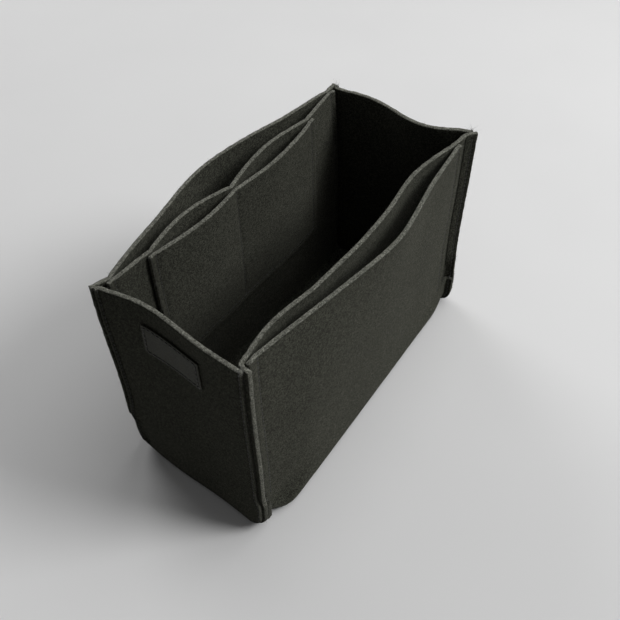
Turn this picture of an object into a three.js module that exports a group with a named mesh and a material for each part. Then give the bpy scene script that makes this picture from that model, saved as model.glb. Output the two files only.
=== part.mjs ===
// Felt purse organizer insert.
// Two nested felt wraps make the front, base and back: the outer wrap's front is the
// front slip pocket, the inner wrap's back closes the back slip pocket. Two end panels
// are sewn to them with the seam allowances turned outward, so every corner carries a
// raw-edged fin. A double pocket is sewn on the inside of the back, and a blank label
// on the left end. Each lockstitched seam has a needle thread and a bobbin thread.
// Millimetres, +Z up, X along the length, front slip pocket towards -Y.
// The origin lies on the resting plane, under the middle of the base.

import * as THREE from 'three';

const { clamp, degToRad: degrees, lerp, smoothstep } = THREE.MathUtils;

// Driving dimensions of the felt box
const INNER_LENGTH = 235; // between the end panels' inner faces
const INNER_DEPTH = 96; // between the inner wrap's faces, before the felt bows
const HEIGHT = 164; // rim above the resting plane
const FELT = 3; // felt thickness
const LAYER_GAP = 0.35; // clearance between layers that are sewn together
const BASE_CORNER = 3; // inside radius between the base and the walls
const FOLD_RADIUS = 0.8; // inside radius of the tightest fold of a seam allowance
const FRONT_TURN = degrees(80); // how far the wraps turn outward at the front corners
const BACK_TURN = degrees(20); // and at the back corners, where the end panels turn out to them
const FOOT_TURN = degrees(50); // at the feet of the back corners, below the step
const BASE_TURN = degrees(72); // how far they turn down along the base
const FRONT_FIN = 6; // free seam allowance at the front corners
const FRONT_FOOT_FIN = 4.5; // at their feet, below the step
const FOOT_FIN = 8; // at the feet of the back corners
const BACK_FIN = 11; // at the back corners, above the step
const BASE_FIN = 5; // and along the base
const FIN_STITCH_INSET = 2.6; // end seams, back from the wraps' raw edge
const END_SETBACK = 1.6; // end panels' raw edge, back from the wraps' raw edge
const FRONT_STITCH_INSET = 4.2; // both at the front corners, above the step
const FRONT_SETBACK = 3.3;
const FLOOR_CLEARANCE = 0.2; // base fins above the resting plane
const BASE_FLAT = 86; // half length of the base that lies flat before it rises to the fins

// Slip pockets
const STEP_HEIGHT = 24; // below this both wraps run out into the end seams
const STEP_MERGE = 30; // height above the step over which the back fins turn to their upright shape
const STEP_CLOSE = 10; // height above it over which the fins close up without the third layer
const POCKET_SETBACKS = { left: 0, right: 8 }; // front pocket's side edges, back from the corner folds
const EDGE_STITCH = 4; // seams, back from the edge they hold down
const BACK_EDGE_CLEARANCE = 3; // inner back's side edge to the end panel
const FRONT_MOUTH = 15; // how far the front pocket's mouth stands open
const FRONT_MOUTH_AT = 4; // where along X it is widest
const BACK_MOUTH = 22.5; // how far the back pocket's mouth stands open
const BACK_MOUTH_AT = -2;
const MOUTH_ROUNDING = 0.25; // how round a mouth's widest place is, as a share of its half width
const FRONT_FLARES = { left: 9, right: 2.2 }; // outward swell of the outer wrap along the base, by its ends
const BACK_FLARE = 9.5; // and along the base at the back
const BASE_FLARE_RUN = 34; // length over which that swell fades out towards the corners
const BASE_FLARE_TIP = 12; // where it ends on the base, past the corner fold
const MOUTH_LEAN = 1.3; // how late the wall starts to lean out on its way up to the mouth

// How the felt bows at the rim
const FRONT_DIPS = [
  { at: 67, reach: 46, depth: 4.8 },
  { at: -85, reach: 34, depth: 3.7 },
  { at: -14, reach: 55, depth: -1.2 },
];
const BACK_SAG = 3.5; // inner back bows into the compartment
const END_BOWS = {
  left: { flare: 2.2, skew: 2.3 }, // leans out, and bows in an S: out at one side, in at the other
  right: { flare: 0, skew: 4.6 },
};
const RIM_LEAN = 2; // how late the walls start to bow on their way up to the rim

// How the corners stand away from a plain box: along X at the foot and at the rim, and
// along Y at the rim, for the walls and for the tips of the fins
const CORNERS = {
  front: {
    left: { foot: 9.3, rim: 7.8, wall: 0, tip: 0 },
    right: { foot: 8, rim: 7.5, wall: 2.5, tip: 2.5 },
  },
  back: {
    left: { foot: 3, rim: 4.5, wall: 0.5, tip: 0 },
    right: { foot: 3, rim: 2.5, wall: 4.6, tip: 1.3 },
  },
};
const BASE_REACH = 6.5; // along X in the middle of the base's ends
const SWEEP_START = 60; // where along the walls that begins

// Double pocket on the inside of the back
const PATCH_LEFT = -87;
const PATCH_RIGHT = 79;
const PATCH_CENTRE = -11; // seam between the two pockets
const PATCH_TOP = 163;
const PATCH_BOTTOM = 60;
const PATCH_STITCH = 4.5; // bottom seam above the patch's lower edge
const PATCH_BELLY = 3; // how far each pocket swells into the compartment
const BACK_BELLY = 7.5; // how far the inner back swells away behind each pocket
const BELLY_FULLNESS = 0.8; // how early that swell starts above the bottom seam

// Blank label on the left end
const LABEL_WIDTH = 46;
const LABEL_HEIGHT = 24.5;
const LABEL_THICKNESS = 1.2;
const LABEL_CENTRE_Y = 1.5;
const LABEL_DROP = 28; // label's middle below the rim
const LABEL_STITCH = 2; // stitching back from the label's edge

// Thread
const THREAD_RADIUS = 0.4;
const THREAD_GAP = 0.3; // thread to felt
const THREAD_SIDES = 6;
const THREAD_END_GAP = 2.5; // between thread ends that meet

// Sampling
const FOLD_STEPS = 2;
const CORNER_STEPS = 4;
const WALL_PARTS = 10;
const RISE_PARTS = 2;
const POCKET_PARTS = 4;
const LABEL_PARTS = 3;
const SAME_LINE = 0.6; // grid lines closer than this become one

// Layout worked out from the driving dimensions
const LAYER = FELT + LAYER_GAP;
const HALF_DEPTH = INNER_DEPTH / 2;
const BASE_TOP = FELT + LAYER;
const OUTER_FOLD = FOLD_RADIUS + FELT / 2;
const INNER_FOLD = OUTER_FOLD + LAYER;
const END_REACH = INNER_FOLD + LAYER;
const END_PLANE = INNER_LENGTH / 2 + FELT / 2;
const FOLD_START = END_PLANE - END_REACH;
const FOLD_HEIGHT = FELT / 2 + INNER_FOLD;
const BACK_SEAM = FOLD_START;
const BACK_EDGE = INNER_LENGTH / 2 - BACK_EDGE_CLEARANCE;
const TIP_RUN = INNER_FOLD * Math.sin(BACK_TURN) + BACK_FIN * Math.cos(BACK_TURN);
const PATCH_SEAM_LEFT = PATCH_LEFT + EDGE_STITCH;
const PATCH_SEAM_RIGHT = PATCH_RIGHT - EDGE_STITCH;
const PATCH_SEAM_HEIGHT = PATCH_BOTTOM + PATCH_STITCH;
const LABEL_TOP = HEIGHT - LABEL_DROP + LABEL_HEIGHT / 2;
const LABEL_BOTTOM = LABEL_TOP - LABEL_HEIGHT;
const LABEL_NEAR = LABEL_CENTRE_Y - LABEL_WIDTH / 2;
const LABEL_FAR = LABEL_CENTRE_Y + LABEL_WIDTH / 2;
const CORNER_HEIGHT = BASE_TOP + BASE_CORNER;
const CORE_EDGE = HALF_DEPTH - BASE_CORNER;
const BASE_FIN_DROP =
  FOLD_HEIGHT + (FELT / 2 - OUTER_FOLD) * Math.cos(BASE_TURN) + BASE_FIN * Math.sin(BASE_TURN);
const BASE_LIFT = BASE_FIN_DROP + FLOOR_CLEARANCE - BASE_TOP;

const clamp01 = (value) => clamp(value, 0, 1);
const smooth = (value) => smoothstep(value, 0, 1);

// Side is -1 for the left end and 1 for the right end.
const endName = (side) => (side < 0 ? 'left' : 'right');
const pocketEdge = (side) => FOLD_START - POCKET_SETBACKS[endName(side)];
const pocketSeam = (side) => pocketEdge(side) - EDGE_STITCH;

// Sorted grid lines, with near doubles left out.
function gridLines(values) {
  const sorted = [...values].sort((a, b) => a - b);
  return sorted.filter((value, i) => i === 0 || value - sorted[i - 1] > SAME_LINE);
}

function between(start, end, parts) {
  return Array.from({ length: parts + 1 }, (_, i) => start + ((end - start) * i) / parts);
}

// Height above the base as a share of the wall, 0 at the base and 1 at the rim.
const rise = (z) => clamp01((z - BASE_TOP) / (HEIGHT - BASE_TOP));

// The base rises towards the ends, which stand on their fins.
function lift(x) {
  return BASE_LIFT * smooth((Math.abs(x) - BASE_FLAT) / (FOLD_START - BASE_FLAT));
}

// A pocket mouth's bow between its side seams: two nearly straight flanks and a round top.
function mouth(x, centre, seam) {
  const away = Math.abs(x - centre) / (x < centre ? seam + centre : seam - centre);
  const drop = (share) => Math.hypot(share, MOUTH_ROUNDING) - MOUTH_ROUNDING;
  return Math.max(0, 1 - drop(away) / drop(1));
}

function frontDip(x) {
  const away = (dip) => Math.min(1, Math.abs(x - dip.at) / dip.reach);
  const lobe = (dip) => Math.cos((Math.PI / 2) * away(dip)) ** 2;
  return FRONT_DIPS.reduce((sum, dip) => sum + dip.depth * lobe(dip), 0);
}

// The swell of the two inside pockets: none at their seams, full half-way between.
function pocketSwell(x, z) {
  const start = x < PATCH_CENTRE ? PATCH_SEAM_LEFT : PATCH_CENTRE;
  const end = x < PATCH_CENTRE ? PATCH_CENTRE : PATCH_SEAM_RIGHT;
  const along = Math.sin(Math.PI * clamp01((x - start) / (end - start)));
  const up = clamp01((z - PATCH_SEAM_HEIGHT) / (PATCH_TOP - PATCH_SEAM_HEIGHT));
  return along * up ** BELLY_FULLNESS;
}

function backSag(x, z) {
  return BACK_SAG * Math.max(0, 1 - (x / BACK_SEAM) ** 2) * rise(z);
}

// Outward bow of a wrap's wall. Layer 0 is the inner wrap, 1 the outer one.
function wallBow(layer, x, y, z) {
  const front = y < 0;
  if (layer === 0 && front) return -frontDip(x) * rise(z) ** RIM_LEAN;
  if (layer === 0) return BACK_BELLY * pocketSwell(x, z) - backSag(x, z);
  const open = front
    ? FRONT_MOUTH * mouth(x, FRONT_MOUTH_AT, pocketSeam(x - FRONT_MOUTH_AT))
    : BACK_MOUTH * mouth(x, BACK_MOUTH_AT, BACK_SEAM);
  const flareEnd = lerp(FOLD_START + BASE_FLARE_TIP, pocketSeam(x), smooth(z / STEP_HEIGHT));
  const frontFlare = lerp(FRONT_FLARES.left, FRONT_FLARES.right, (x / FOLD_START + 1) / 2);
  const fade = smooth((flareEnd - Math.abs(x)) / BASE_FLARE_RUN);
  const flare = (front ? frontFlare : BACK_FLARE) * fade;
  return lerp(flare, open, rise(z) ** MOUTH_LEAN);
}

// Outward bow of an end panel.
function endBow(side, y, z) {
  const { flare, skew } = END_BOWS[endName(side)];
  const across = clamp((side * y) / HALF_DEPTH, -1, 1);
  return (flare * (1 - across * across) + skew * Math.sin(Math.PI * across)) * rise(z) ** RIM_LEAN;
}

// How far a corner draws the felt out along X, less towards the middle of the depth.
function cornerReach(side, y, z) {
  const { foot, rim } = CORNERS[y < 0 ? 'front' : 'back'][endName(side)];
  const share = Math.min(1, Math.abs(y) / HALF_DEPTH) ** 2;
  return lerp(lerp(BASE_REACH, foot, share), rim * share, rise(z));
}

// How far it draws the felt out along Y, from the walls to the tips of the fins.
function cornerSwing(side, along, y, z) {
  const { wall, tip } = CORNERS[y < 0 ? 'front' : 'back'][endName(side)];
  return lerp(wall, tip, clamp01((along - FOLD_START) / TIP_RUN)) * rise(z) ** RIM_LEAN;
}

// Stations along the wraps' U: down the front, across the base and up the back.
// A station is a point on the inner wrap's inside face with its outward normal.
const WALL_ROWS = gridLines([
  HEIGHT, LABEL_TOP, LABEL_BOTTOM, (LABEL_BOTTOM + PATCH_SEAM_HEIGHT) / 2, PATCH_SEAM_HEIGHT,
  STEP_HEIGHT + STEP_MERGE, STEP_HEIGHT + STEP_CLOSE, STEP_HEIGHT, CORNER_HEIGHT,
]).reverse();
const BASE_ROWS = gridLines([
  -CORE_EDGE, (LABEL_NEAR - CORE_EDGE) / 2, ...between(LABEL_NEAR, LABEL_FAR, LABEL_PARTS),
  (LABEL_FAR + CORE_EDGE) / 2, CORE_EDGE,
]);

function wallStations(side) {
  return WALL_ROWS.map((z) => ({ y: side * HALF_DEPTH, z, ny: side, nz: 0 }));
}

function cornerStations(side) {
  return between(0, Math.PI / 2, CORNER_STEPS).slice(1, -1).map((angle) => ({
    y: side * (CORE_EDGE + BASE_CORNER * Math.cos(angle)),
    z: CORNER_HEIGHT - BASE_CORNER * Math.sin(angle),
    ny: side * Math.cos(angle),
    nz: -Math.sin(angle),
  }));
}

const BASE_STATIONS = BASE_ROWS.map((y) => ({ y, z: BASE_TOP, ny: 0, nz: -1 }));
const STATIONS = [
  ...wallStations(-1), ...cornerStations(-1), ...BASE_STATIONS,
  ...cornerStations(1).reverse(), ...wallStations(1).reverse(),
];

// The seam allowance at a station: its turn, its free length, and where the fold's centre
// lies. Above the step a third layer drops out: the inner wrap at the back, where the centre
// moves out by a layer, and the outer wrap at the front, where it moves in and along.
function fold(station) {
  const down = station.nz ** 2;
  const back = station.ny > 0;
  const climb = smooth((station.z - STEP_HEIGHT) / STEP_MERGE);
  const close = smooth((station.z - STEP_HEIGHT) / STEP_CLOSE);
  const upright = back ? lerp(FOOT_FIN, BACK_FIN, climb) : lerp(FRONT_FOOT_FIN, FRONT_FIN, close);
  const length = lerp(upright, BASE_FIN, down);
  const slack = back ? 0 : close;
  return {
    turn: lerp(back ? lerp(FOOT_TURN, BACK_TURN, climb) : FRONT_TURN, BASE_TURN, down),
    length,
    stitch: 1 - lerp(FIN_STITCH_INSET, FRONT_STITCH_INSET, slack) / length,
    endEdge: 1 - lerp(END_SETBACK, FRONT_SETBACK, slack) / length,
    tuck: slack * LAYER,
    centre: FOLD_HEIGHT + (back ? close : -close) * LAYER,
  };
}

// A point at distance along from the middle of the length, and out from the station.
function place(side, along, station, out, bow = 0) {
  const y = station.y + station.ny * out;
  const z = station.z + station.nz * out;
  const sweep = smooth((along - SWEEP_START) / (FOLD_START - SWEEP_START));
  const swing = sweep * cornerSwing(side, along, station.y, station.z);
  const spread = Math.min(1, Math.abs(y) / HALF_DEPTH);
  const across = y + Math.sign(y) * (bow + swing) * spread;
  const reach = sweep * cornerReach(side, across, station.z);
  const up = lift(along) * ((HEIGHT - z) / (HEIGHT - BASE_TOP));
  return new THREE.Vector3(side * (along + reach), across, z + up);
}

// Thickens a surface of points and triangles into one closed sheet of felt.
function sheetNormals(points, triangles) {
  const normals = points.map(() => new THREE.Vector3());
  for (const [a, b, c] of triangles) {
    const ab = points[b].clone().sub(points[a]);
    const ac = points[c].clone().sub(points[a]);
    const bc = points[c].clone().sub(points[b]);
    const face = ab.clone().cross(ac).normalize();
    normals[a].addScaledVector(face, ab.angleTo(ac));
    normals[b].addScaledVector(face, Math.PI - ab.angleTo(bc));
    normals[c].addScaledVector(face, ac.angleTo(bc));
  }
  return normals.map((normal) => normal.normalize());
}

function thicken({ points, normals, triangles }, thickness) {
  const offset = (i, distance) => points[i].clone().addScaledVector(normals[i], distance);
  const vertices = [
    ...points.map((_, i) => offset(i, thickness / 2)),
    ...points.map((_, i) => offset(i, -thickness / 2)),
  ];
  const under = (i) => i + points.length;
  const faces = triangles.flatMap(([a, b, c]) => [[a, b, c], [under(c), under(b), under(a)]]);
  const edges = new Set(triangles.flatMap(([a, b, c]) => [`${a},${b}`, `${b},${c}`, `${c},${a}`]));
  for (const edge of edges) {
    const [a, b] = edge.split(',').map(Number);
    if (!edges.has(`${b},${a}`)) faces.push([under(a), under(b), b], [under(a), b, a]);
  }
  return solid(vertices, faces);
}

// Keeps only the vertices that the faces use.
function solid(vertices, faces) {
  const used = new Map();
  const positions = [];
  const index = faces.flat().map((i) => {
    if (!used.has(i)) {
      used.set(i, used.size);
      positions.push(vertices[i].x, vertices[i].y, vertices[i].z);
    }
    return used.get(i);
  });
  const geometry = new THREE.BufferGeometry();
  geometry.setAttribute('position', new THREE.Float32BufferAttribute(positions, 3));
  geometry.setIndex(index);
  geometry.computeVertexNormals();
  return geometry;
}

// Both triangles of a quad, with the diagonal from a to c unless flipped.
function quad(a, b, c, d, flipped = false) {
  const pair = flipped ? [[a, b, d], [b, c, d]] : [[a, b, c], [a, c, d]];
  return pair.filter((triangle) => new Set(triangle).size === 3);
}

// A surface over a grid of rows and columns, with the cells that it keeps.
function gridSheet(rows, columns, pointAt, keeps = () => true, flips = () => false) {
  const points = rows.flatMap((row) => columns.map((column) => pointAt(row, column)));
  const at = (i, j) => i * columns.length + j;
  const triangles = [];
  for (let i = 0; i + 1 < rows.length; i += 1) {
    for (let j = 0; j + 1 < columns.length; j += 1) {
      if (!keeps(rows[i], rows[i + 1], columns[j], columns[j + 1])) continue;
      const cell = [at(i, j), at(i, j + 1), at(i + 1, j + 1), at(i + 1, j)];
      triangles.push(...quad(...cell, flips(columns[j])));
    }
  }
  return { points, triangles, normals: sheetNormals(points, triangles), at };
}

// Columns across a wrap: its walls, then the fold and the fin at each end.
const wallColumn = (x) => ({ side: Math.sign(x) || 1, along: Math.abs(x), turn: 0, fin: 0 });

function finColumns(side) {
  const column = (turn, fin) => ({ side, along: FOLD_START, turn, fin });
  const folds = between(0, 1, FOLD_STEPS).slice(1).map((turn) => column(turn, 0));
  const fins = ['stitch', 'edge'].map((fin) => column(1, fin));
  return [...folds, ...fins];
}

function wrapColumns(lines) {
  return [...finColumns(-1).reverse(), ...lines.map(wallColumn), ...finColumns(1)];
}

const columnX = (column) => column.side * (column.along + column.turn + (column.fin ? 1 : 0));
const isBackWall = (station) => station.ny === 1;
const isFrontWall = (station) => station.ny === -1;
const aboveStep = (station) => station.z > STEP_HEIGHT;

// A wrap's middle surface: flat out along the wall, round the fold and up the fin.
function wrapPoint(layer, station, column) {
  const { turn, length, stitch, tuck, centre } = fold(station);
  const out = FELT / 2 + layer * LAYER;
  if (column.turn === 0) {
    const x = column.side * column.along;
    return place(column.side, column.along, station, out, wallBow(layer, x, station.y, station.z));
  }
  if (layer === 0 && isBackWall(station) && aboveStep(station)) {
    const along = lerp(FOLD_START, BACK_EDGE, column.turn);
    return place(column.side, along, station, out);
  }
  const radius = centre - out;
  const angle = turn * column.turn;
  const share = { stitch, edge: 1 }[column.fin] ?? 0;
  const along = FOLD_START + tuck + radius * Math.sin(angle) + share * length * Math.cos(turn);
  const bowed = layer === 1 && !column.fin;
  const bow = bowed ? wallBow(layer, column.side * FOLD_START, station.y, station.z) : 0;
  const rest = centre - radius * Math.cos(angle) + share * length * Math.sin(turn);
  return place(column.side, along, station, rest, bow);
}

function wrapSheet(layer, lines, keeps) {
  const columns = wrapColumns(lines);
  const pointAt = (station, column) => wrapPoint(layer, station, column);
  const sheet = gridSheet(STATIONS, columns, pointAt, keeps, (column) => columnX(column) >= 0);
  return { ...sheet, columns };
}

const riseLines = (side) => [
  ...between(BASE_FLAT, pocketSeam(side), RISE_PARTS), pocketEdge(side), FOLD_START,
];
const endLines = [-1, 1].flatMap((side) => riseLines(side).map((x) => side * x));
const patchLines = gridLines([
  PATCH_LEFT, PATCH_RIGHT,
  ...between(PATCH_SEAM_LEFT, PATCH_CENTRE, POCKET_PARTS),
  ...between(PATCH_CENTRE, PATCH_SEAM_RIGHT, POCKET_PARTS),
]);
const innerLines = gridLines([...endLines, ...patchLines]);
const outerLines = gridLines([...endLines, ...between(-BASE_FLAT, BASE_FLAT, WALL_PARTS)]);

// The inner wrap is narrower behind the back pocket, above the step.
const innerWrap = wrapSheet(0, innerLines, (upper, lower, left, right) => {
  const onBack = isBackWall(upper) && isBackWall(lower);
  const inFin = left.fin !== 0 || right.fin !== 0;
  return !(onBack && inFin && Math.max(upper.z, lower.z) > STEP_HEIGHT);
});

// The outer wrap is narrower along the front pocket, above the step.
const outerWrap = wrapSheet(1, outerLines, (upper, lower, left, right) => {
  const onFront = isFrontWall(upper) && isFrontWall(lower);
  const inMargin = columnX(left) < -pocketEdge(-1) || columnX(right) > pocketEdge(1);
  return !(onFront && inMargin && Math.max(upper.z, lower.z) > STEP_HEIGHT);
});

// An end panel's rim at a station: straight, round its fold and along the fin.
function endRim(side, station) {
  const { turn, length, stitch, endEdge, tuck, centre } = fold(station);
  const reach = END_REACH - tuck;
  const bend = reach + OUTER_FOLD;
  const start = centre + (bend * Math.sin(turn) - bend) / Math.cos(turn);
  const arc = between(0, Math.PI / 2 - turn, FOLD_STEPS).map((angle) => [
    FOLD_START + tuck + bend - OUTER_FOLD * Math.cos(angle), start + OUTER_FOLD * Math.sin(angle),
  ]);
  const fin = [stitch, endEdge].map((share) => [
    FOLD_START + tuck + reach * Math.sin(turn) + share * length * Math.cos(turn),
    centre - reach * Math.cos(turn) + share * length * Math.sin(turn),
  ]);
  return [...arc, ...fin].map(([along, out]) => place(side, along, station, out));
}

// The end panel's flat middle, as a core grid, and the rim that runs round its U.
function endPoint(side, y, z, out = 0) {
  const up = BASE_LIFT * ((HEIGHT - z) / (HEIGHT - BASE_TOP));
  const along = END_PLANE + endBow(side, y, z) + cornerReach(side, y, z) + out;
  return new THREE.Vector3(side * along, y, z + up);
}

function endSheet(side) {
  const points = WALL_ROWS.flatMap((z) => BASE_ROWS.map((y) => endPoint(side, y, z)));
  const width = BASE_ROWS.length;
  const core = (i, j) => i * width + j;
  const lastRow = WALL_ROWS.length - 1;
  const coreOf = (station) => {
    if (isFrontWall(station)) return core(WALL_ROWS.indexOf(station.z), 0);
    if (isBackWall(station)) return core(WALL_ROWS.indexOf(station.z), width - 1);
    if (station.nz === -1) return core(lastRow, BASE_ROWS.indexOf(station.y));
    return core(lastRow, station.ny < 0 ? 0 : width - 1);
  };
  const rims = STATIONS.map((station) => {
    const first = points.length;
    const rim = endRim(side, station);
    points.push(...rim);
    return [coreOf(station), ...rim.map((_, i) => first + i)];
  });
  const triangles = [];
  for (let i = 0; i < lastRow; i += 1) {
    for (let j = 0; j + 1 < width; j += 1) {
      triangles.push(...quad(core(i, j), core(i + 1, j), core(i + 1, j + 1), core(i, j + 1)));
    }
  }
  for (let s = 0; s + 1 < rims.length; s += 1) {
    for (let k = 0; k + 1 < rims[s].length; k += 1) {
      triangles.push(...quad(rims[s][k], rims[s][k + 1], rims[s + 1][k + 1], rims[s + 1][k]));
    }
  }
  return { points, triangles, normals: sheetNormals(points, triangles), rims };
}

const leftEnd = endSheet(-1);
const rightEnd = endSheet(1);

// The double pocket lies on the inner back along its seams and swells between them.
const rowsOnPatch = WALL_ROWS.filter((z) => z >= PATCH_SEAM_HEIGHT && z < PATCH_TOP - SAME_LINE);
const patchRows = gridLines([PATCH_TOP, PATCH_BOTTOM, ...rowsOnPatch]).reverse();
const patch = gridSheet(patchRows, patchLines, (z, x) => {
  const bow = -LAYER - backSag(x, z) - PATCH_BELLY * pocketSwell(x, z);
  return place(Math.sign(x) || 1, Math.abs(x), { y: HALF_DEPTH, z, ny: 1, nz: 0 }, FELT / 2, bow);
});

// The label lies on the left end panel's outer face.
const labelRows = [LABEL_TOP, LABEL_BOTTOM];
const labelColumns = BASE_ROWS.filter((y) => y > LABEL_NEAR - SAME_LINE && y < LABEL_FAR + SAME_LINE);
const labelLift = FELT / 2 + LAYER_GAP + LABEL_THICKNESS / 2;
const label = gridSheet(labelRows, labelColumns, (z, y) => endPoint(-1, y, z, labelLift));

// Threads: a path is a list of points, each with the normal of the felt under it.
// The felt's face is the one that looks along the given direction.
function onFace(sheet, i, direction) {
  const normal = sheet.normals[i].clone();
  return { point: sheet.points[i], normal: normal.multiplyScalar(Math.sign(normal.dot(direction))) };
}

function trimmed(path, gap) {
  const ends = path.map(({ point, normal }) => ({ point: point.clone(), normal }));
  const step = ends[1].point.clone().sub(ends[0].point).setLength(gap);
  ends[0].point.add(step);
  return ends;
}

function cord(path, thickness) {
  const lifted = path.map(({ point, normal }) =>
    point.clone().addScaledVector(normal, thickness / 2 + THREAD_GAP + THREAD_RADIUS));
  const vertices = [];
  const faces = [];
  lifted.forEach((point, i) => {
    const before = lifted[Math.max(0, i - 1)];
    const after = lifted[Math.min(lifted.length - 1, i + 1)];
    const tangent = after.clone().sub(before).normalize();
    const across = tangent.clone().cross(path[i].normal).normalize();
    const outward = across.clone().cross(tangent);
    for (let k = 0; k < THREAD_SIDES; k += 1) {
      const angle = (2 * Math.PI * k) / THREAD_SIDES;
      const spoke = outward.clone().multiplyScalar(Math.cos(angle));
      spoke.addScaledVector(across, Math.sin(angle));
      vertices.push(point.clone().addScaledVector(spoke, THREAD_RADIUS));
    }
  });
  const ring = (i, k) => i * THREAD_SIDES + (k % THREAD_SIDES);
  for (let i = 0; i + 1 < lifted.length; i += 1) {
    for (let k = 0; k < THREAD_SIDES; k += 1) {
      faces.push(...quad(ring(i, k), ring(i, k + 1), ring(i + 1, k + 1), ring(i + 1, k)));
    }
  }
  const last = lifted.length - 1;
  for (let k = 1; k + 1 < THREAD_SIDES; k += 1) {
    faces.push([ring(0, 0), ring(0, k + 1), ring(0, k)]);
    faces.push([ring(last, 0), ring(last, k), ring(last, k + 1)]);
  }
  return solid(vertices, faces);
}

// End seams follow the stitch line of the fins, on the end panel and on the wraps.
// On a fin the end panel's face looks outward along X and back along the station's normal.
const endFacing = (side, station) => new THREE.Vector3(side, -station.ny, -station.nz);

function endNeedle(side, end) {
  const line = 1 + FOLD_STEPS + 1;
  return end.rims.map((rim, i) => onFace(end, rim[line], endFacing(side, STATIONS[i])));
}

function endBobbin(side) {
  return STATIONS.map((station, i) => {
    const sheet = isFrontWall(station) && aboveStep(station) ? innerWrap : outerWrap;
    const column = sheet.columns.findIndex((entry) => entry.side === side && entry.fin === 'stitch');
    return onFace(sheet, sheet.at(i, column), endFacing(side, station).negate());
  });
}

// Side seams of the slip pockets run down a wall from the rim to the step.
function sideSeam(sheet, x, wall, direction) {
  const onSeam = (entry) => entry.turn === 0 && Math.abs(columnX(entry) - x) < SAME_LINE;
  const column = sheet.columns.findIndex(onSeam);
  const onWall = (station) => station.ny === wall && station.z >= STEP_HEIGHT;
  const rows = STATIONS.flatMap((station, i) => (onWall(station) ? [i] : []));
  return rows.map((i) => onFace(sheet, sheet.at(i, column), direction));
}

const FORWARD = new THREE.Vector3(0, -1, 0);
const BACKWARD = new THREE.Vector3(0, 1, 0);

// The patch's seams, picked on the patch's inside face or on the back of the inner back.
function patchFace(row, x) {
  const vertex = patch.at(patchRows.indexOf(row), patchLines.indexOf(x));
  return onFace(patch, vertex, FORWARD);
}

function innerBackFace(row, x) {
  const station = STATIONS.findIndex((entry) => isBackWall(entry) && entry.z === row);
  const column = innerWrap.columns.findIndex((entry) => entry.turn === 0 && columnX(entry) === x);
  return onFace(innerWrap, innerWrap.at(station, column), BACKWARD);
}

function nearest(lines, value) {
  const miss = (line) => Math.abs(line - value);
  return lines.reduce((best, line) => (miss(line) < miss(best) ? line : best));
}

const seamLeft = nearest(patchLines, PATCH_SEAM_LEFT);
const seamCentre = nearest(patchLines, PATCH_CENTRE);
const seamRight = nearest(patchLines, PATCH_SEAM_RIGHT);
const seamBottom = nearest(patchRows, PATCH_SEAM_HEIGHT);
const seamRows = patchRows.filter((z) => z >= seamBottom);
const bobbinRows = seamRows.filter((z) => WALL_ROWS.includes(z));

function patchOutline(face, rows) {
  const down = rows.map((z) => face(z, seamLeft));
  const across = patchLines.filter((x) => x > seamLeft && x < seamRight).map((x) => face(seamBottom, x));
  const up = [...rows].reverse().map((z) => face(z, seamRight));
  return [...down, ...across, ...up];
}

function patchMiddle(face, rows) {
  const up = [...rows].reverse().map((z) => face(z, seamCentre));
  return trimmed(up, THREAD_END_GAP);
}

// The label's stitching runs once round, inside the label's edge.
function labelLoop(out, face) {
  const near = LABEL_NEAR + LABEL_STITCH;
  const far = LABEL_FAR - LABEL_STITCH;
  const across = labelColumns.map((y) => clamp(y, near, far));
  const upper = LABEL_TOP - LABEL_STITCH;
  const lower = LABEL_BOTTOM + LABEL_STITCH;
  const forth = across.map((y) => [y, upper]);
  const back = [...across].reverse().map((y) => [y, lower]);
  const loop = [...forth, ...back, [near, upper - THREAD_END_GAP]];
  const normal = new THREE.Vector3(-face, 0, 0);
  return loop.map(([y, z]) => ({ point: endPoint(-1, y, z, out), normal }));
}

// Materials, one for each piece
const felt = (color) => new THREE.MeshStandardMaterial({ color, roughness: 0.95, metalness: 0 });
const thread = () => new THREE.MeshStandardMaterial({ color: 0x242522, roughness: 0.6, metalness: 0 });
const leather = () => new THREE.MeshStandardMaterial({ color: 0x2b2b28, roughness: 0.55, metalness: 0 });

const organizer = new THREE.Group();

function addPiece(name, geometry, material) {
  const piece = new THREE.Mesh(geometry, material);
  piece.name = name;
  organizer.add(piece);
}

function addSeam(name, needle, needleThickness, bobbin, bobbinThickness) {
  addPiece(`${name}_needle_thread`, cord(needle, needleThickness), thread());
  addPiece(`${name}_bobbin_thread`, cord(bobbin, bobbinThickness), thread());
}

addPiece('outer_wrap', thicken(outerWrap, FELT), felt(0x3a3a36));
addPiece('inner_wrap', thicken(innerWrap, FELT), felt(0x383834));
addPiece('left_end_panel', thicken(leftEnd, FELT), felt(0x363632));
addPiece('right_end_panel', thicken(rightEnd, FELT), felt(0x363632));
addPiece('inside_pocket_patch', thicken(patch, FELT), felt(0x383834));
addPiece('blank_label', thicken(label, LABEL_THICKNESS), leather());

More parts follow.
